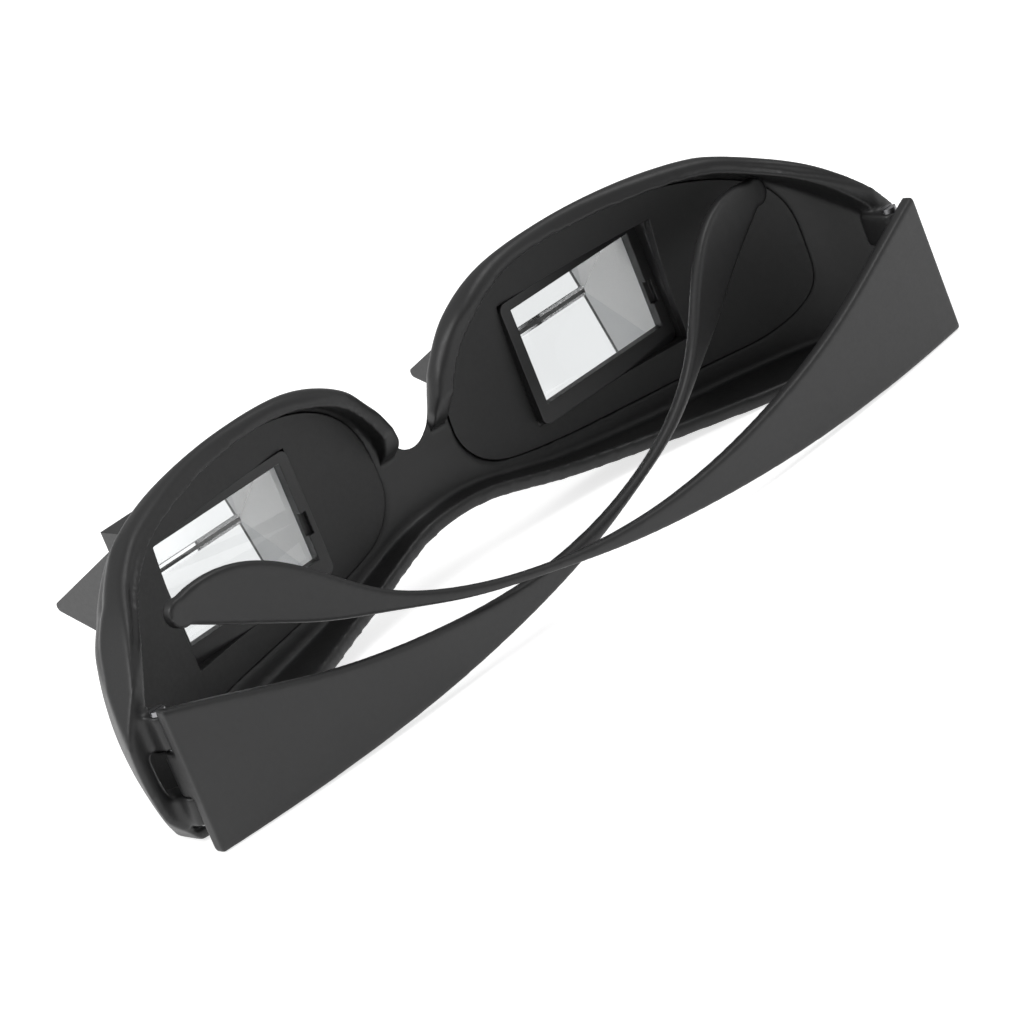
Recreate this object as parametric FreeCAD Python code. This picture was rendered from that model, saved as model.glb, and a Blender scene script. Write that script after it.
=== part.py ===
import FreeCAD
import Part
import math
import os

# Prism bed glasses, folded, standing on their brow edges with the nose notch up.
# X runs across the face (wearer's right is +X), the prisms point to -Y, the ears to +Y.
# Heights are first written from the window's centre line and raised by EYE_Z at the end.

V = FreeCAD.Vector
os.makedirs("parts", exist_ok=True)

EYE_Z = 22.0            # window centre above the surface the brow edges stand on

# Front frame: a curved shell, open at the back, with a nose notch.
HALF_WIDTH = 79.3       # widest point of the side wall
WALL = 2.4              # front wall
RIM_WALL = 2.7          # wall along the nose side
BROW_WALL = 2.2         # wall along the brow side
CROWN_Z = -8.0          # height where the shell is fullest
SIDE_CROWN_R = 40.0     # upright curve of the two sides
FRONT_CROWN_R = 130.0   # upright curve of the front
WALL_END_Y = 26.5       # back face of the side walls

# Lens panels: thin plates let into the front wall from behind.
PANEL_THICK = 1.4
PANEL_LIP = 1.0

# Prism module: one design, used unmirrored on both sides.
LENS_X = 36.2           # centre of each window from the middle
WINDOW_W = 25.0
WINDOW_H = 15.7
BEZEL_THICK = 1.6
BEZEL_NOSE = 1.5        # border widths of the bezel
BEZEL_BROW = 2.9
BEZEL_CORNER = 1.2
NECK_WALL = 1.0
WEDGE_WALL = 1.85       # triangular side walls
WEDGE_DEPTH = 29.6      # window plane to the meeting line of the two wedge faces
WEDGE_TIP_Z = -2.5
WEDGE_NOSE_SLOPE = 0.481
WEDGE_BROW_SLOPE = 0.36
WEDGE_TIP_R = 0.8
FLANGE_Y = -5.5         # front face of the base flange
FLANGE_TOP = 12.0
FLANGE_BOTTOM = -12.2
FLANGE_SIDE = 1.3       # flange beyond the neck at each end
COVER_THICK = 1.5
GLASS_RECESS = 0.7      # open glass face below the edge of the wedge walls
GLASS_GAP = 0.05
EDGE_FLAT = 0.8         # flat ground on the front edge of the glass
CLIP_H = 3.6            # relief for the prism's retaining clip in the bezel
CLIP_W = 1.0
CLIP_DROP = 0.4

# Temples and hinges.
HINGE_X = 74.2
HINGE_Y = 29.0
HINGE_END = 1.6         # axis to the temple's end face
HINGE_OUT = 4.1         # axis to the temple's outer face
KNUCKLE_R = 1.5
PIN_R = 0.7
PIN_RUN = 0.06          # running clearance of the pin in the temple's knuckle
PIN_HEAD_R = 1.15
PIN_HEAD_H = 0.7
KNUCKLE_TOP = -7.0
KNUCKLE_BOTTOM = -13.6
LUG_TOP = -1.4
LUG_BOTTOM = -18.6
LUG_GAP = 0.15
LUG_ROOT = 3.5          # how far a lug reaches along the side wall
PIN_SEAT = 0.02         # clearance of the pin in the lugs
TEMPLE_LENGTH = 139.0   # axis to tip
TEMPLE_ROOT = 2.3       # thickness at the hinge
TEMPLE_TIP = 1.9        # thickness at the ear end
TEMPLE_ROUND = 0.6
OUTER_FOLD = 4.7        # the left temple folds last and stops this many degrees higher

# Nose-side and brow-side outlines of the frame, x from the middle and height.
NOSE_EDGE = [
    (0, -1.7), (2.4, -0.6), (3.7, 1.4), (4.8, 4.2), (6.6, 7.8), (11.8, 13.6), (20.2, 17.4),
    (33, 18.5), (46, 17.9), (57.6, 16.0), (63.7, 13.0), (68.6, 9.6), (72.8, 5.2), (76.4, 0.2),
]
BROW_EDGE = [(0, -14.2), (7, -14.8), (18, -17.7), (30, -19.9), (44, -21.4), (56, -EYE_Z)]
SIDE_EDGE = [(76.4, 0.2), (78.9, -4.5), (HALF_WIDTH, -9.5), (78.4, -16), (74.8, -20.7), (68, -EYE_Z)]

# Plan of the front face, x from the middle and depth.
FRONT_PLAN = [(0, -4.4), (20, -4.1), (35, -2.8), (50, 0.0), (60, 3.6), (67, 7.6), (72.9, 13.4), (76.6, 20.2)]

# Back edge of the rim: depth at each x, for the nose side and the brow side.
NOSE_BACK = [(0, 3.2), (7, 3.4), (12, 5.2), (22, 4.8), (32, 4.9), (40, 6.4), (50, 10.4), (57.6, 13.6), (63.7, 17), (69, 22)]
BROW_BACK = [(0, 1.6), (8, 2.0), (17, 3.2), (26, 5.4), (32, 7.6), (40, 10.8), (50, 15.6), (57.6, 19.4), (63.7, 22.6), (69, 25)]
BACK_END_X = 75.0

# Groove line of a lens panel.
PANEL_EDGE = [
    (7.6, -3.7), (8.6, -7.5), (11.2, -10.5), (18, -13.0), (33, -14.9), (55, -16.0), (64, -15.0), (68.6, -11.5),
    (69.6, -5), (69, 1), (66, 7.2), (60, 11.1), (50, 13.9), (36, 15.0), (24, 14.4), (15, 11.4), (9.8, 6.4), (8.0, 1.5),
]

# Temple seen from the side: distance from the hinge and height of its two edges.
TEMPLE_NOSE = [
    (-HINGE_END, 0.2), (9.6, -3.4), (23.7, -8.2), (40.6, -12.2), (57.4, -14.5), (74.3, -14.6), (88.4, -12.5),
    (99.6, -9.2), (109.4, -4.0), (117.9, 4.2), (124.9, 9.0), (131.9, 10.4), (136.4, 9.8),
]
TEMPLE_BROW = [
    (-HINGE_END, -EYE_Z), (23.7, -21.6), (40.6, -20.8), (57.4, -19.3), (74.3, -16.9), (88.4, -13.9), (99.6, -11.1),
    (109.4, -7.6), (117.9, -4.4), (124.9, -0.8), (131.9, 3.0), (136.4, 5.6),
]
# How far its outer face leaves a straight line, towards the head.
TEMPLE_BEND = [(-HINGE_END, 0), (33.6, -2.2), (61.7, -0.8), (85, 2.6), (99, 6.0), (113.8, 11.6), (TEMPLE_LENGTH, 17.6)]

# Derived places.
GLASS_W = WINDOW_W - 0.1
NECK_X = WINDOW_W / 2 + WEDGE_WALL
NECK_TOP = WINDOW_H / 2 + BEZEL_NOSE
NECK_BOTTOM = -WINDOW_H / 2 - BEZEL_BROW
TEMPLE_INNER = HINGE_OUT - TEMPLE_ROOT


def spline(points, start=None, end=None):
    """Smooth edge through the points, with its end directions where they matter."""
    curve = Part.BSplineCurve()
    if start:
        curve.interpolate(Points=points, InitialTangent=start, FinalTangent=end)
    else:
        curve.interpolate(points)
    return curve.toShape()


def lines(points):
    return Part.makePolygon(points).Edges


def both_sides(points):
    """Half outline from the middle outwards, made whole from -X to +X."""
    return [(-x, y) for x, y in reversed(points) if x > 0] + list(points)


def in_front(points):
    """Points of a front view."""
    return [V(x, 0, z) for x, z in points]


def prism_y(edges, y0, y1):
    """A front-view outline drawn out along Y."""
    face = Part.Face(Part.Wire(Part.__sortEdges__(edges)))
    face.translate(V(0, y0, 0))
    return face.extrude(V(0, y1 - y0, 0))


def box(x0, x1, y0, y1, z0, z1):
    return Part.makeBox(x1 - x0, y1 - y0, z1 - z0, V(x0, y0, z0))


def rounded(shape, edges, radius):
    """Edges rounded where the radius fits, else left sharp."""
    for factor in (1.0, 0.7, 0.45):
        try:
            result = shape.makeFillet(radius * factor, edges)
        except Part.OCCError:
            continue
        if result.isValid() and len(result.Solids) == len(shape.Solids):
            return result
    return shape


def mirrored(shape):
    return shape.mirror(V(0, 0, 0), V(1, 0, 0))


nodes = {}


def save(name, shape):
    nodes[name] = shape.copy()


def plan_wire(z, inset):
    """Plan of the shell at height z, moved in by the inset and by the upright crown."""
    rise = (z - CROWN_Z) ** 2
    side_in = inset + rise / (2 * SIDE_CROWN_R)
    front_in = rise / (2 * FRONT_CROWN_R)
    tail = [(HALF_WIDTH, WALL_END_Y), (HALF_WIDTH + 0.4, 34.0)]
    half = FRONT_PLAN + tail
    moved = []
    for index, (x, y) in enumerate(half):
        before = half[index - 1] if index else (-half[1][0], half[1][1])
        after = half[min(index + 1, len(half) - 1)]
        run = V(after[0] - before[0], after[1] - before[1], 0).normalize()
        moved.append((x - side_in * run.y, y + inset * run.x + front_in))
    points = [V(x, y, z) for x, y in both_sides([(max(x, 0), y) for x, y in moved])]
    back = lines([points[-1], V(points[-1].x, 60, z), V(points[0].x, 60, z), points[0]])
    return Part.Wire([spline(points)] + back)


def shell_solid(inset):
    """Everything behind the front surface moved in by the inset."""
    heights = (-26, -17, -8, 1, 10, 22)
    return Part.makeLoft([plan_wire(z, inset) for z in heights], True, False)


def frame_outline():
    """Outer outline of the frame."""
    nose = both_sides(NOSE_EDGE)
    brow = both_sides(BROW_EDGE)
    edges = [spline(in_front(nose)), spline(in_front(brow), V(1, 0, 0), V(1, 0, 0))]
    for side in (1, -1):
        edge = in_front([(side * x, z) for x, z in SIDE_EDGE])
        foot = V(side * BROW_EDGE[-1][0], 0, -EYE_Z)
        edges += [spline(edge, V(side, 0, -1.5), V(-side, 0, 0)), Part.makeLine(edge[-1], foot)]
    return edges


def moved_in(points, distance):
    """Points moved to the right-hand side of their direction of travel."""
    result = []
    for index, (x, z) in enumerate(points):
        before = points[max(index - 1, 0)]
        after = points[min(index + 1, len(points) - 1)]
        run = V(after[0] - before[0], after[1] - before[1], 0).normalize()
        result.append((x + distance * run.y, z - distance * run.x))
    return result


def cavity_outline():
    """Inside of the walls. The nose wall stops at the bridge, which stays open."""
    flank = moved_in(NOSE_EDGE, RIM_WALL)[3:]
    start = flank[0][0] - 0.3
    end_z = -3.4
    foot = NOSE_EDGE[2][0]
    floor = moved_in(BROW_EDGE + [SIDE_EDGE[-1]], -BROW_WALL)
    far = HALF_WIDTH + 12
    nose_end = flank[-1]
    half = [V(foot, 0, 8), V(foot, 0, end_z), V(start, 0, end_z)]
    edges = []
    for side in (1, -1):
        step = [V(side * p.x, 0, p.z) for p in half]
        rim = [V(side * start, 0, end_z)] + [V(side * x, 0, z) for x, z in flank]
        ends = [rim[-1], V(side * far, 0, nose_end[1] - 1), V(side * far, 0, floor[-1][1]), V(side * floor[-1][0], 0, floor[-1][1])]
        edges += lines(step) + [spline(rim)] + lines(ends)
    edges += lines([V(-foot, 0, 8), V(foot, 0, 8)])
    edges.append(spline(in_front(both_sides(floor))))
    return edges


def behind_rim():
    """Space behind the rim's back edge, cut away from the walls."""
    wires = []
    for z, profile in ((-24, BROW_BACK), (21, NOSE_BACK)):
        half = profile + [(BACK_END_X, WALL_END_Y)]
        points = [V(x, y, z) for x, y in both_sides(half)]
        far = HALF_WIDTH + 10
        ends = [points[-1], V(far, WALL_END_Y, z), V(far, 70, z), V(-far, 70, z), V(-far, WALL_END_Y, z), points[0]]
        wires.append(Part.Wire([spline(points)] + lines(ends)))
    return Part.makeLoft(wires, True, True)


def panel_outline(inset):
    points = moved_in(PANEL_EDGE + PANEL_EDGE[:1], -inset)[:-1] if inset else PANEL_EDGE
    curve = Part.BSplineCurve()
    curve.interpolate(Points=in_front(points), PeriodicFlag=True)
    return [curve.toShape()]


def in_profile(points, x0, x1):
    """A side-view outline, as (depth, height), drawn out along X."""
    wire = Part.makePolygon([V(x0, y, z) for y, z in points + points[:1]])
    return Part.Face(wire).extrude(V(x1 - x0, 0, 0))


def wedge_line(slope, y, offset):
    """Height of a wedge face at depth y, moved inwards by the offset."""
    reach = y + WEDGE_DEPTH
    lean = math.sqrt(1 + slope * slope)
    return WEDGE_TIP_Z + slope * reach - math.copysign(offset * lean, slope)


def wedge_tip(nose_offset, brow_offset):
    """Depth and height where the two moved faces meet."""
    nose_shift = nose_offset * math.sqrt(1 + WEDGE_NOSE_SLOPE ** 2)
    brow_shift = brow_offset * math.sqrt(1 + WEDGE_BROW_SLOPE ** 2)
    reach = (nose_shift + brow_shift) / (WEDGE_NOSE_SLOPE + WEDGE_BROW_SLOPE)
    y = reach - WEDGE_DEPTH
    return y, wedge_line(WEDGE_NOSE_SLOPE, y, nose_offset)


def wedge_profile(nose_offset, brow_offset, back):
    tip = wedge_tip(nose_offset, brow_offset)
    return [
        tip,
        (back, wedge_line(WEDGE_NOSE_SLOPE, back, nose_offset)),
        (back, wedge_line(-WEDGE_BROW_SLOPE, back, brow_offset)),
    ]


def temple_solid():
    """Wearer's right temple, lying along -X: a bent band cut to its side outline."""
    outer_face = []
    inner_face = []
    for reach, bend in TEMPLE_BEND:
        share = (reach + HINGE_END) / (TEMPLE_LENGTH + HINGE_END)
        thick = TEMPLE_ROOT + (TEMPLE_TIP - TEMPLE_ROOT) * share
        outer_face.append(V(HINGE_X - reach, HINGE_Y + HINGE_OUT - bend, -40))
        inner_face.append(V(HINGE_X - reach, HINGE_Y + HINGE_OUT - bend - thick, -40))
    ends = [Part.makeLine(outer_face[0], inner_face[0]), Part.makeLine(outer_face[-1], inner_face[-1])]
    band = Part.Face(Part.Wire(Part.__sortEdges__([spline(outer_face), spline(inner_face)] + ends)))
    band = band.extrude(V(0, 0, 80))
    nose = [V(HINGE_X - reach, 0, z) for reach, z in TEMPLE_NOSE]
    brow = [V(HINGE_X - reach, 0, z) for reach, z in TEMPLE_BROW]
    tip = V(HINGE_X - TEMPLE_LENGTH, 0, (nose[-1].z + brow[-1].z) / 2)
    edges = [spline(nose), spline(brow), Part.makeLine(nose[0], brow[0])]
    edges.append(Part.Arc(nose[-1], tip, brow[-1]).toShape())
    plate = band.common(prism_y(edges, -20, 90))
    long_edges = [edge for edge in plate.Edges if edge.Length > 60]
    plate = rounded(plate, long_edges, TEMPLE_ROUND)
    height = KNUCKLE_TOP - KNUCKLE_BOTTOM
    knuckle = Part.makeCylinder(KNUCKLE_R, height, V(HINGE_X, HINGE_Y, KNUCKLE_BOTTOM))
    web = box(HINGE_X - KNUCKLE_R, HINGE_X + HINGE_END, HINGE_Y, HINGE_Y + TEMPLE_INNER + TEMPLE_ROOT / 2,
              KNUCKLE_BOTTOM, KNUCKLE_TOP)
    bore = Part.makeCylinder(PIN_R + PIN_RUN, height + 2, V(HINGE_X, HINGE_Y, KNUCKLE_BOTTOM - 1))
    return plate.fuse([knuckle, web]).cut(bore).removeSplitter()


def hinge_lugs():
    """Two lugs on the side wall, above and below the temple's knuckle."""
    lugs = []
    for low, high in ((LUG_BOTTOM, KNUCKLE_BOTTOM - LUG_GAP), (KNUCKLE_TOP + LUG_GAP, LUG_TOP)):
        eye = Part.makeCylinder(KNUCKLE_R, high - low, V(HINGE_X, HINGE_Y, low))
        web = box(HINGE_X - KNUCKLE_R, HINGE_X + KNUCKLE_R, WALL_END_Y - LUG_ROOT, HINGE_Y, low, high)
        root = box(HINGE_X - KNUCKLE_R, HINGE_X + KNUCKLE_R + WALL, WALL_END_Y - LUG_ROOT, WALL_END_Y, low, high)
        lugs.append(eye.fuse([web, root]))
    lug_pair = lugs[0].fuse(lugs[1])
    bore = Part.makeCylinder(PIN_R + PIN_SEAT, 60, V(HINGE_X, HINGE_Y, -40))
    return lug_pair.cut(bore)


def hinge_pin():
    """Screw with a round slotted head on the upper lug."""
    shank = Part.makeCylinder(PIN_R, LUG_TOP - LUG_BOTTOM, V(HINGE_X, HINGE_Y, LUG_BOTTOM))
    head = Part.makeCylinder(PIN_HEAD_R, PIN_HEAD_H, V(HINGE_X, HINGE_Y, LUG_TOP))
    slot = box(HINGE_X - 2, HINGE_X + 2, HINGE_Y - 0.15, HINGE_Y + 0.15, LUG_TOP + PIN_HEAD_H * 0.4, LUG_TOP + 2)
    return shank.fuse(head).cut(slot)


def at_lens(x, low, high, y0, y1, z0, z1):
    return box(x + low, x + high, y0, y1, z0, z1)


def hood_solid(x, behind):
    """Base flange that sits on the panel, the neck through it and the two wedge walls."""
    reach = NECK_X + FLANGE_SIDE
    flange = at_lens(x, -reach, reach, FLANGE_Y, 8, FLANGE_BOTTOM, FLANGE_TOP).cut(behind)
    neck = at_lens(x, -NECK_X, NECK_X, FLANGE_Y, -BEZEL_THICK, NECK_BOTTOM, NECK_TOP)
    room = at_lens(x, -NECK_X, NECK_X, -BEZEL_THICK, 10, NECK_BOTTOM, NECK_TOP)
    passage = at_lens(x, -WINDOW_W / 2, WINDOW_W / 2, FLANGE_Y - 1, 10, NECK_BOTTOM + NECK_WALL, NECK_TOP - NECK_WALL)
    hood = flange.cut(room).fuse(neck).cut(passage)
    profile = wedge_profile(0, 0, FLANGE_Y + 0.5)
    for start in (x - NECK_X, x + WINDOW_W / 2):
        wall = in_profile(profile, start, start + WEDGE_WALL)
        tips = [edge for edge in wall.Edges if edge.BoundBox.YMax < WEDGE_TIP_R - WEDGE_DEPTH]
        hood = hood.fuse(rounded(wall, tips, WEDGE_TIP_R))
    return hood.removeSplitter()


def cover_solid(x):
    """Plate over the mirrored brow-side face of the prism, between the wedge walls."""
    inner_tip = wedge_tip(0, COVER_THICK)
    profile = [
        wedge_tip(0, 0),
        (FLANGE_Y, wedge_line(-WEDGE_BROW_SLOPE, FLANGE_Y, 0)),
        (FLANGE_Y, wedge_line(-WEDGE_BROW_SLOPE, FLANGE_Y, COVER_THICK)),
        inner_tip,
    ]
    plate = in_profile(profile, x - WINDOW_W / 2, x + WINDOW_W / 2)
    tips = [edge for edge in plate.Edges if edge.BoundBox.YMax < WEDGE_TIP_R - WEDGE_DEPTH]
    return rounded(plate, tips, WEDGE_TIP_R)


def bezel_solid(x):
    """Flat border round the window on the eye side."""
    plate = at_lens(x, -NECK_X, NECK_X, -BEZEL_THICK, 0, NECK_BOTTOM, NECK_TOP)
    corners = [edge for edge in plate.Edges if abs(edge.BoundBox.YLength - BEZEL_THICK) < 0.01]
    plate = rounded(plate, corners, BEZEL_CORNER)
    window = at_lens(x, -WINDOW_W / 2, WINDOW_W / 2, -5, 5, -WINDOW_H / 2, WINDOW_H / 2)
    relief = at_lens(x, -WINDOW_W / 2 - CLIP_W, 0, -BEZEL_THICK / 2, 5, -CLIP_DROP - CLIP_H, -CLIP_DROP)
    return plate.cut(window).cut(relief)


def glass_solid(x):
    """Glass prism: base towards the eye, edge pointing forward."""
    back = -BEZEL_THICK
    whole = in_profile(wedge_profile(GLASS_RECESS, COVER_THICK + GLASS_GAP, back), x - GLASS_W / 2, x + GLASS_W / 2)
    tip_y = wedge_tip(GLASS_RECESS, COVER_THICK)[0]
    top = NECK_TOP - NECK_WALL - GLASS_GAP
    bottom = NECK_BOTTOM + NECK_WALL + GLASS_GAP
    return whole.common(at_lens(x, -WINDOW_W, WINDOW_W, tip_y + EDGE_FLAT, back, bottom, top))


# Front frame
outer = shell_solid(0)
middle = shell_solid(WALL - PANEL_THICK)
inner = shell_solid(WALL)
silhouette = prism_y(frame_outline(), -20, 60)
cavity = inner.common(prism_y(cavity_outline(), -20, 70))
frame = outer.common(silhouette).cut(cavity).cut(behind_rim())
seat = prism_y(panel_outline(0), -20, 60)
sight = prism_y(panel_outline(PANEL_LIP), -20, 60)
lugs = hinge_lugs().common(outer.common(silhouette).fuse(box(0, HINGE_X + KNUCKLE_R, WALL_END_Y - 1, 60, -30, 10)))
for side in (1, -1):
    place = mirrored if side < 0 else Part.Shape.copy
    frame = frame.cut(middle.common(place(seat))).cut(place(sight)).fuse(place(lugs))
frame = frame.removeSplitter()
save("front_frame", frame)

# Lens panels and prism modules
for side, name in ((1, "right"), (-1, "left")):
    place = mirrored if side < 0 else Part.Shape.copy
    x = side * LENS_X
    hole = at_lens(x, -NECK_X, NECK_X, -20, 20, NECK_BOTTOM, NECK_TOP)
    panel = middle.common(place(seat)).cut(inner).cut(hole)
    save("lens_panel_" + name, panel)
    save("prism_hood_" + name, hood_solid(x, middle))
    save("mirror_cover_" + name, cover_solid(x))
    save("bezel_" + name, bezel_solid(x))
    save("prism_" + name, glass_solid(x))

# Temples, the left one folded over the right one
temple = temple_solid()
save("temple_right", temple)
left = mirrored(temple)
left.rotate(V(-HINGE_X, HINGE_Y, 0), V(0, 0, 1), OUTER_FOLD)
save("temple_left", left)
pin = hinge_pin()
save("hinge_pin_right", pin)
save("hinge_pin_left", mirrored(pin))

# The origin lies on the ground, in the middle of the whole object's width and depth
depths = []
for shape in nodes.values():
    extent = shape.optimalBoundingBox(False, False)
    depths += [extent.YMin, extent.YMax]
origin_y = (min(depths) + max(depths)) / 2
for name, shape in nodes.items():
    shape.translate(V(0, -origin_y, EYE_Z))
    shape.exportStep("parts/" + name + ".step")
    print(name, len(shape.Solids), shape.isValid(), round(shape.Volume))
print("hinge axis depth", round(HINGE_Y - origin_y, 3), "origin depth", round(origin_y, 3))
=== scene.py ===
import bisect
import math

import bpy
from mathutils import Matrix, Vector
from mathutils.kdtree import KDTree


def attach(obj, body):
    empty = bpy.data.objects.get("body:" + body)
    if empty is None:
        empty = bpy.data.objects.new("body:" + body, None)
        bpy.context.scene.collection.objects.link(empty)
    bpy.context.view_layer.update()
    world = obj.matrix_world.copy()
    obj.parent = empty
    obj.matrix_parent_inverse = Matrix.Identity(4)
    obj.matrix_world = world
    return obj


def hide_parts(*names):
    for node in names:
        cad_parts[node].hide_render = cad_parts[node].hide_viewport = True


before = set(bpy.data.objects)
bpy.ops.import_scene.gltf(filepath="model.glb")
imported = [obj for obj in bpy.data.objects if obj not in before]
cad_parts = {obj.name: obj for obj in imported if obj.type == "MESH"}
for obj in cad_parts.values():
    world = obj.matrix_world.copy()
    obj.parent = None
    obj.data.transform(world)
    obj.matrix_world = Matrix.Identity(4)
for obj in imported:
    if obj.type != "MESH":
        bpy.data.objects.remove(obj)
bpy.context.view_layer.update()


# Camera: it looks down at the wearer's side of the folded glasses, from the place that fits
# the photograph. Its three directions are the picture's right, the picture's up and the way
# that it looks.
PICTURE = 1010
FOCAL = 5000
SENSOR = 36
camera_place = Vector((0.3810, 0.5739, 0.2489))
looking = Vector((-0.5279, -0.7826, -0.3300)).normalized()
picture_right = Vector((-0.6986, 0.6211, -0.3552))
picture_right = (picture_right - picture_right.dot(looking) * looking).normalized()
picture_up = picture_right.cross(looking)
turned = Matrix((picture_right, picture_up, -looking)).transposed().to_4x4()
bpy.ops.object.camera_add()
camera = bpy.context.object
camera.matrix_world = Matrix.Translation(camera_place) @ turned
camera.data.sensor_width = SENSOR
camera.data.lens = FOCAL / PICTURE * SENSOR
camera.data.clip_start = 0.01
camera.data.clip_end = 10
bpy.context.scene.camera = camera
bpy.context.scene.view_settings.view_transform = "Standard"


# Floor and light: a plain white floor that keeps the shadow, a pale world and three soft
# lamps. Floor and world read as white where the camera sees them, straight or through the
# glass, and the world lights the glasses at a lower strength.
FLOOR_SIZE = 6
FLOOR_SHADE = 0.8
FLOOR_GLOW = 0.72
WORLD_LIGHT = 0.38
WHITE = (1, 1, 1, 1)
SUBJECT = Vector((0, 0, 0.02))


class Value:
    """One output of a node, used like a number in sums."""

    def __init__(self, finish, socket):
        self.finish = finish
        self.socket = socket

    def out(self, name):
        """Another output of the same node."""
        return Value(self.finish, self.socket.node.outputs[name])

    def maths(self, operation, *values):
        return self.finish.node("ShaderNodeMath", {"operation": operation}, dict(enumerate(values)))

    def __add__(self, other):
        return self.maths("ADD", self, other)

    def __radd__(self, other):
        return self.maths("ADD", other, self)

    def __sub__(self, other):
        return self.maths("SUBTRACT", self, other)

    def __rsub__(self, other):
        return self.maths("SUBTRACT", other, self)

    def __mul__(self, other):
        return self.maths("MULTIPLY", self, other)

    def __rmul__(self, other):
        return self.maths("MULTIPLY", other, self)

    def held(self, low, high):
        return self.maths("MAXIMUM", self.maths("MINIMUM", self, high), low)


class Finish:
    """A material, or the world, that is built node by node."""

    CORNER_SAMPLES = 6
    WEAR_AND_SHEEN_GAIN = 4

    def __init__(self, owner, output="ShaderNodeOutputMaterial"):
        self.owner = owner
        owner.use_nodes = True
        self.tree = owner.node_tree
        self.tree.nodes.clear()
        self.output = self.tree.nodes.new(output)

    def node(self, kind, settings, values):
        node = self.tree.nodes.new(kind)
        for name, setting in settings.items():
            setattr(node, name, setting)
        for name, value in values.items():
            if isinstance(value, Value):
                self.tree.links.new(value.socket, node.inputs[name])
            else:
                node.inputs[name].default_value = value
        return Value(self, node.outputs[0])

    def surface(self, shader):
        self.tree.links.new(shader.socket, self.output.inputs["Surface"])
        return self.owner

    def colour(self, red, green, blue):
        return self.node("ShaderNodeCombineColor", {}, {"Red": red, "Green": green, "Blue": blue})

    def noise(self, scale, detail=2.0, roughness=0.5):
        place = self.node("ShaderNodeTexCoord", {}, {}).out("Object")
        values = {"Vector": place, "Scale": scale, "Detail": detail, "Roughness": roughness}
        return self.node("ShaderNodeTexNoise", {}, values).out("Fac")

    def rounded(self, radius, values):
        """The normal as if each edge had this radius."""
        return self.node("ShaderNodeBevel", {"samples": self.CORNER_SAMPLES}, {"Radius": radius, **values})

    def worn_and_sheen_edges(self, width):
        """Up to 1 along the edges, within this width, and 0 on flats."""
        flat = self.node("ShaderNodeNewGeometry", {}, {}).out("Normal")
        values = {0: self.rounded(width, {}), 1: flat}
        likeness = self.node("ShaderNodeVectorMath", {"operation": "DOT_PRODUCT"}, values).out("Value")
        return ((1 - likeness) * self.WEAR_AND_SHEEN_GAIN).held(0, 1)


bpy.ops.mesh.primitive_plane_add(size=FLOOR_SIZE, location=(0, 0, 0))
floor = bpy.context.object
floor.name = "floor"
paper = Finish(bpy.data.materials.new("white_paper"))
ray = paper.node("ShaderNodeLightPath", {}, {})
seen = (ray.out("Is Camera Ray") + ray.out("Is Glossy Ray") + ray.out("Is Transmission Ray")).held(0, 1)
matt = paper.node("ShaderNodeBsdfDiffuse", {}, {"Color": (FLOOR_SHADE, FLOOR_SHADE, FLOOR_SHADE, 1)})
glow = paper.node("ShaderNodeEmission", {}, {"Color": WHITE, "Strength": seen * FLOOR_GLOW})
floor.data.materials.append(paper.surface(paper.node("ShaderNodeAddShader", {}, {0: matt, 1: glow})))

world = bpy.data.worlds.new("studio")
bpy.context.scene.world = world
air = Finish(world, "ShaderNodeOutputWorld")
ray = air.node("ShaderNodeLightPath", {}, {})
seen = (ray.out("Is Camera Ray") + ray.out("Is Transmission Ray")).held(0, 1)
strength = WORLD_LIGHT + (1 - WORLD_LIGHT) * seen
air.surface(air.node("ShaderNodeBackground", {}, {"Color": WHITE, "Strength": strength}))

for lamp_name, lamp_place, lamp_size, lamp_power in (
    ("key_softbox", (0.85, -0.35, 0.75), 0.5, 5.0),
    ("top_softbox", (-0.25, 0.15, 1.1), 0.6, 3.5),
    ("fill_softbox", (-0.9, 0.6, 0.45), 0.8, 1.0),
):
    bpy.ops.object.light_add(type="AREA", location=lamp_place)
    lamp = bpy.context.object
    lamp.name = lamp_name
    lamp.data.size = lamp_size
    lamp.data.energy = lamp_power
    lamp.rotation_euler = (SUBJECT - Vector(lamp_place)).to_track_quat("-Z", "Y").to_euler()


# Front frame: one injection moulding of black plastic with a fine satin skin. It carries the
# panels, the prism modules and the hinge lugs. The rim's edge is a large round in front and
# a smaller one behind, and both flanks of the nose notch run out at the bridge.
FRAME_SKIN = 0.00042
FRAME_SMOOTHING = 10
ORIGIN_Y = -0.005327
EYE_Z = 0.022
CROWN_Z = 0.014
SIDE_CROWN = 0.040
FRONT_CROWN = 0.130
FRONT_ROUND = 0.0048
RIM_ROUND = 0.0019
RIM_END = 0.0765
FADE_END = 0.0755
FADE_LENGTH = 0.008
BRIDGE_Y = -0.0073
BRIDGE_HALF = 0.0095
FLANK_FOOT = 0.0175
FLANK_START = 0.0205
FLANK_FULL = 0.0255
JOINING_DISTANCE = 0.000002
SLOPE_STEP = 0.001
PLASTIC_IOR = 1.53
EDGE_RADIUS = 0.00025
CLOUD_SCALE = 60
CLOUD_SHADE = 0.3
CLOUD_ROUGHNESS = 0.10
SKIN_SCALE = 1400
SKIN_ROUGHNESS = 0.16
PIT_SCALE = 5200
PIT_STRENGTH = 0.35
# Edge mask: it makes the plastic smoother along its edges and paints them lighter, partly as rubbed wear
# and partly as a painted highlight.
RUB_AND_SHEEN_SCALE = 220
RUBBED_AND_SHEEN_WIDTH = 0.0006
RUBBED_AND_SHEEN_LIGHTER = 0.012
RUBBED_SMOOTHER = 0.10

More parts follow.
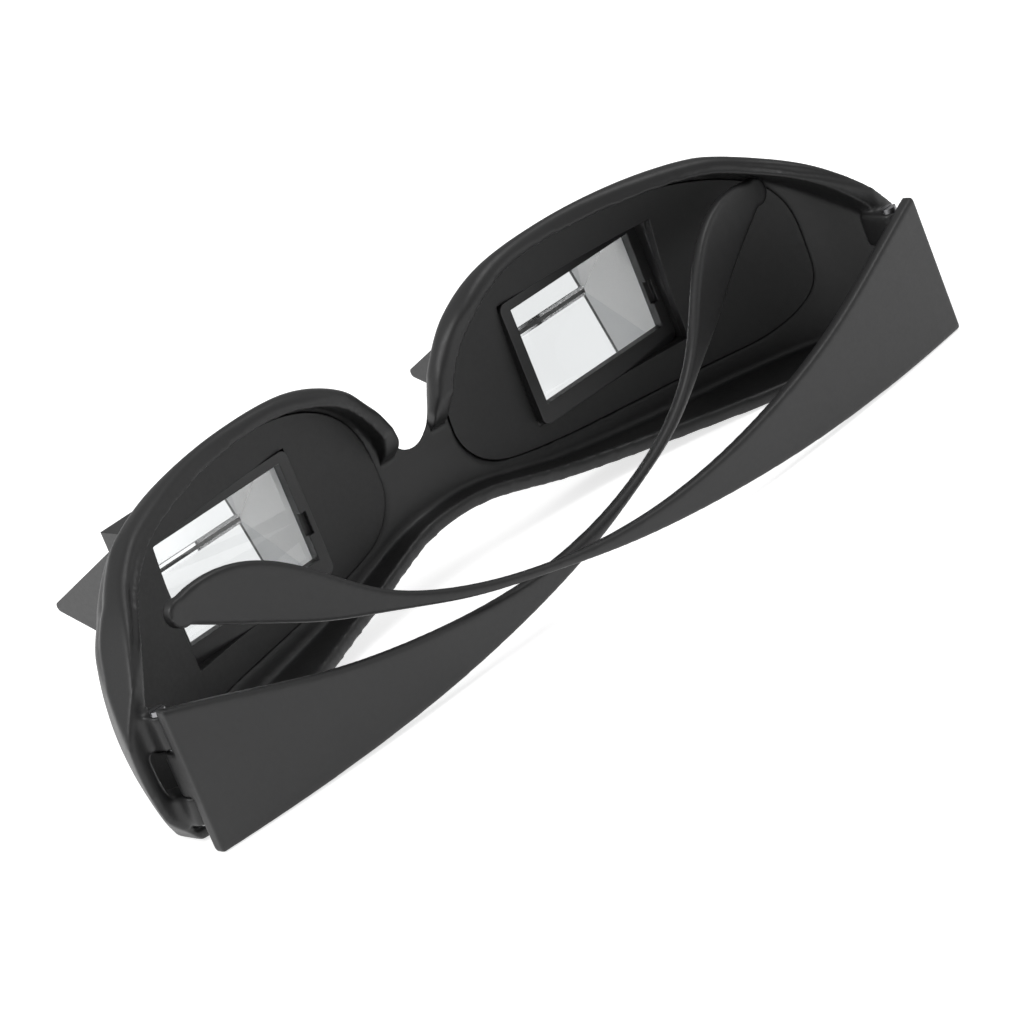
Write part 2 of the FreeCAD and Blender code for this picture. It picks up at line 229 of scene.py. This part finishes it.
# Points in millimetres on the front's right half: the nose-side outline as the wearer sees
# it, and from above the plan of the front's face and the plan of the rim's back.
NOSE_EDGE = [
    (0, -1.7), (2.4, -0.6), (3.7, 1.4), (4.8, 4.2), (6.6, 7.8), (11.8, 13.6), (20.2, 17.4),
    (33, 18.5), (46, 17.9), (57.6, 16.0), (63.7, 13.0), (68.6, 9.6), (72.8, 5.2), (76.4, 0.2),
]
FRONT_PLAN = [
    (0, -4.4), (20, -4.1), (35, -2.8), (50, 0.0), (60, 3.6), (67, 7.6), (72.9, 13.4), (76.6, 20.2),
]
NOSE_BACK = [
    (0, 3.2), (7, 3.4), (12, 5.2), (22, 4.8), (32, 4.9), (40, 6.4), (50, 10.4), (57.6, 13.6),
    (63.7, 17), (69, 22), (75, 26.5),
]


def moulded_plastic(name, shade, roughness, grain):
    """Black plastic, clouded a little, with a fine grain, rubbed smoother on edges and painted lighter
    there, partly as real wear and partly as a painted edge highlight.
    """
    made = Finish(bpy.data.materials.new(name))
    cloud = made.noise(CLOUD_SCALE, 3)
    skin = made.noise(SKIN_SCALE, 3, 0.6)
    pits = made.noise(PIT_SCALE, 2, 0.6)
    wear_and_sheen = made.worn_and_sheen_edges(RUBBED_AND_SHEEN_WIDTH) * made.noise(RUB_AND_SHEEN_SCALE, 4, 0.65)
    # The edges get a lighter colour: partly rubbed wear, partly a painted highlight along every edge.
    level = shade * (1 - CLOUD_SHADE / 2 + CLOUD_SHADE * cloud) + RUBBED_AND_SHEEN_LIGHTER * wear_and_sheen
    rough = roughness + CLOUD_ROUGHNESS * (cloud - 0.5) + SKIN_ROUGHNESS * (skin - 0.5)
    rough = rough - RUBBED_SMOOTHER * wear_and_sheen
    low = made.node("ShaderNodeBump", {}, {"Height": pits, "Strength": PIT_STRENGTH, "Distance": grain})
    return made.surface(made.node("ShaderNodeBsdfPrincipled", {}, {
        "Base Color": made.colour(level, level, level * 1.03),
        "Roughness": rough.held(0.2, 0.9),
        "IOR": PLASTIC_IOR,
        "Normal": made.rounded(EDGE_RADIUS, {"Normal": low}),
    }))


def merged_copy(node, name):
    """A copy of a node's solid, with its loose triangles joined."""
    bpy.ops.object.select_all(action="DESELECT")
    piece = bpy.data.objects.new(name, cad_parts[node].data.copy())
    bpy.context.scene.collection.objects.link(piece)
    bpy.context.view_layer.objects.active = piece
    piece.select_set(True)
    bpy.ops.object.mode_set(mode="EDIT")
    bpy.ops.mesh.select_all(action="SELECT")
    bpy.ops.mesh.remove_doubles(threshold=JOINING_DISTANCE)
    bpy.ops.object.mode_set(mode="OBJECT")
    piece.data.materials.clear()
    return piece


def moulded_copy(node, name, skin):
    """A copy of a node's solid as one even skin, whose edges can be rounded."""
    piece = merged_copy(node, name)
    remesh = piece.modifiers.new("even_skin", "REMESH")
    remesh.mode = "VOXEL"
    remesh.voxel_size = skin
    bpy.ops.object.modifier_apply(modifier=remesh.name)
    piece.data.materials.append(satin)
    return piece


def soften(piece, times):
    bpy.context.view_layer.objects.active = piece
    smooth = piece.modifiers.new("soft_edges", "SMOOTH")
    smooth.factor = 0.5
    smooth.iterations = times
    bpy.ops.object.modifier_apply(modifier=smooth.name)
    bpy.ops.object.shade_smooth()


def smooth_line(points, parts=12):
    """Points in millimetres as a smooth line in metres, through each of them."""
    ends = [(-points[1][0], points[1][1])] + list(points)
    ends.append((2 * points[-1][0] - points[-2][0], 2 * points[-1][1] - points[-2][1]))
    line = []
    for a, b, c, d in zip(ends, ends[1:], ends[2:], ends[3:]):
        for part in range(parts):
            t = part / parts
            point = []
            for p, q, m, n in zip(a, b, c, d):
                bend = (2 * p - 5 * q + 4 * m - n) * t * t + (3 * q - p - 3 * m + n) * t ** 3
                point.append((q + ((m - p) * t + bend) / 2) / 1000)
            line.append(tuple(point))
    line.append((points[-1][0] / 1000, points[-1][1] / 1000))
    return line


def level_at(line, x):
    place = min(max(bisect.bisect_right(line, (x, 9)), 1), len(line) - 1)
    (x0, y0), (x1, y1) = line[place - 1], line[place]
    return y0 + (y1 - y0) * (x - x0) / (x1 - x0)


edge_line = [(x, z + EYE_Z) for x, z in smooth_line(NOSE_EDGE)]
plan_line = smooth_line(FRONT_PLAN)
back_line = smooth_line(NOSE_BACK)
edge_tree = KDTree(len(edge_line))
for place, (x, z) in enumerate(edge_line):
    edge_tree.insert((x, 0, z), place)
edge_tree.balance()


def front_at(x, z):
    """Where the front's face lies at this place: its plan, crowned from nose to brow."""
    rise = (z - CROWN_Z) ** 2
    ahead = level_at(plan_line, x + SLOPE_STEP)
    behind = level_at(plan_line, abs(x - SLOPE_STEP))
    slope = (ahead - behind) / (2 * SLOPE_STEP)
    lean = slope / math.sqrt(1 + slope * slope)
    return level_at(plan_line, x + rise / (2 * SIDE_CROWN) * lean) + rise / (2 * FRONT_CROWN) + ORIGIN_Y


def inside_edge(x, z):
    """Distance inside the nose-side outline, and the way out of it."""
    _, place, _ = edge_tree.find((x, 0, z))
    before = edge_line[max(place - 1, 0)]
    after = edge_line[min(place + 1, len(edge_line) - 1)]
    run = Vector((after[0] - before[0], after[1] - before[1])).normalized()
    out = Vector((-run.y, run.x))
    here = Vector((x - edge_line[place][0], z - edge_line[place][1]))
    return -here.dot(out), out


def round_off(inward, behind, radius):
    """Where a point of a sharp corner goes when the corner gets this radius."""
    a = radius - inward
    b = radius - behind
    reach = math.hypot(a, b)
    if a <= 0 or b <= 0 or reach <= radius:
        return inward, behind
    return radius - a * radius / reach, radius - b * radius / reach


satin = moulded_plastic("satin_black_plastic", 0.013, 0.46, 0.00002)
front = moulded_copy("front_frame", "front_moulding", FRAME_SKIN)
for vertex in front.data.vertices:
    x, y, z = vertex.co
    side = 1 if x >= 0 else -1
    x = abs(x)
    if z < FLANK_FOOT or x > RIM_END:
        continue
    fade = min(1, max(0, (FADE_END - x) / FADE_LENGTH))
    inward, out = inside_edge(x, z)
    if fade > 0 and inward < FRONT_ROUND:
        front_y = front_at(x, z)
        new_inward, behind = round_off(inward, y - front_y, FRONT_ROUND * fade)
        back_y = level_at(back_line, x) + ORIGIN_Y
        new_inward, ahead = round_off(new_inward, back_y - (front_y + behind), RIM_ROUND * fade)
        y = back_y - ahead
        x -= out.x * (new_inward - inward)
        z -= out.y * (new_inward - inward)
    if x < BRIDGE_HALF and FLANK_FOOT < z < FLANK_FULL and y > BRIDGE_Y:
        share = min(1, max(0, (z - FLANK_START) / (FLANK_FULL - FLANK_START)))
        y = BRIDGE_Y + (y - BRIDGE_Y) * math.sqrt(share)
    vertex.co = (side * x, y, z)
soften(front, FRAME_SMOOTHING)
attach(front, "front")
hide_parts("front_frame")


# Temples: bent blades of the same satin plastic that widen into a leaf behind the ear. Each
# is moulded in one with its knuckle, which turns on a screw between two lugs of the front.
TEMPLE_SKIN = 0.0003
TEMPLE_SMOOTHING = 3
for side, body in (("right", "right_temple"), ("left", "left_temple")):
    temple = moulded_copy("temple_" + side, "temple_blade_" + side, TEMPLE_SKIN)
    soften(temple, TEMPLE_SMOOTHING)
    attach(temple, body)
    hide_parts("temple_" + side)


# Lens panels: thin plates of black plastic, duller than the frame, that fill the two eye
# openings. They are pressed into the groove of the opening and carry the prism modules.
def finish_node(name, material):
    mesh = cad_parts[name].data
    mesh.materials.clear()
    mesh.materials.append(material)


dull = moulded_plastic("dull_black_panel", 0.011, 0.55, 0.00003)
for side in ("right", "left"):
    finish_node("lens_panel_" + side, dull)


# Prism hoods, mirror covers and bezels: black plastic again, moulded with sharper edges. The
# hood holds the prism's two ends, the cover lies over its silvered face, and the bezel
# frames the window on the wearer's side.
fine = moulded_plastic("fine_black_moulding", 0.018, 0.42, 0.00002)
for side in ("right", "left"):
    for part in ("prism_hood_", "mirror_cover_", "bezel_"):
        finish_node(part + side, fine)


# Prisms: solid wedges of clear glass, cut and polished, with their base towards the eye. The
# nose-side face is open, the brow-side face is silvered under its cover, and the two end
# faces, which the hood holds, are ground.
GLASS_IOR = 1.52
CLEAR_SLOT = 0
SILVER_SLOT = 1
GROUND_SLOT = 2
END_FACING = 0.9
BROW_FACING = -0.5


def clear_glass():
    made = Finish(bpy.data.materials.new("polished_glass"))
    smears = made.noise(180, 4, 0.7)
    return made.surface(made.node("ShaderNodeBsdfPrincipled", {}, {
        "Base Color": (0.99, 1.0, 0.995, 1),
        "Roughness": ((smears - 0.55) * 0.12).held(0, 0.03),
        "IOR": GLASS_IOR,
        "Transmission Weight": 1.0,
    }))


def silvering():
    made = Finish(bpy.data.materials.new("silvered_face"))
    streak = made.noise(90, 3)
    return made.surface(made.node("ShaderNodeBsdfPrincipled", {}, {
        "Base Color": (0.88, 0.89, 0.90, 1),
        "Metallic": 1.0,
        "Roughness": 0.03 + 0.05 * streak,
    }))


def ground_glass():
    made = Finish(bpy.data.materials.new("ground_glass"))
    grit = made.noise(2600, 3, 0.6)
    level = 0.88 + 0.1 * grit
    low = made.node("ShaderNodeBump", {}, {"Height": grit, "Strength": 0.3, "Distance": 0.00003})
    return made.surface(made.node("ShaderNodeBsdfPrincipled", {}, {
        "Base Color": made.colour(level, level, level),
        "Roughness": 0.75 + 0.1 * grit,
        "Normal": low,
    }))


prism_finishes = (clear_glass(), silvering(), ground_glass())
for side in ("right", "left"):
    prism = merged_copy("prism_" + side, "glass_wedge_" + side)
    bpy.ops.object.shade_flat()
    for material in prism_finishes:
        prism.data.materials.append(material)
    for face in prism.data.polygons:
        if abs(face.normal.x) > END_FACING:
            face.material_index = GROUND_SLOT
        elif face.normal.z < BROW_FACING:
            face.material_index = SILVER_SLOT
        else:
            face.material_index = CLEAR_SLOT
    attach(prism, "front")
    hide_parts("prism_" + side)


# Hinge screws: small turned steel screws, plated dark. Each goes through both lugs of the
# front and the knuckle of its temple.
steel = Finish(bpy.data.materials.new("dark_plated_steel"))
scratch = steel.noise(900, 4, 0.7)
screw_metal = steel.surface(steel.node("ShaderNodeBsdfPrincipled", {}, {
    "Base Color": (0.30, 0.30, 0.31, 1),
    "Metallic": 1.0,
    "Roughness": 0.28 + 0.2 * scratch,
}))
for side in ("right", "left"):
    finish_node("hinge_pin_" + side, screw_metal)
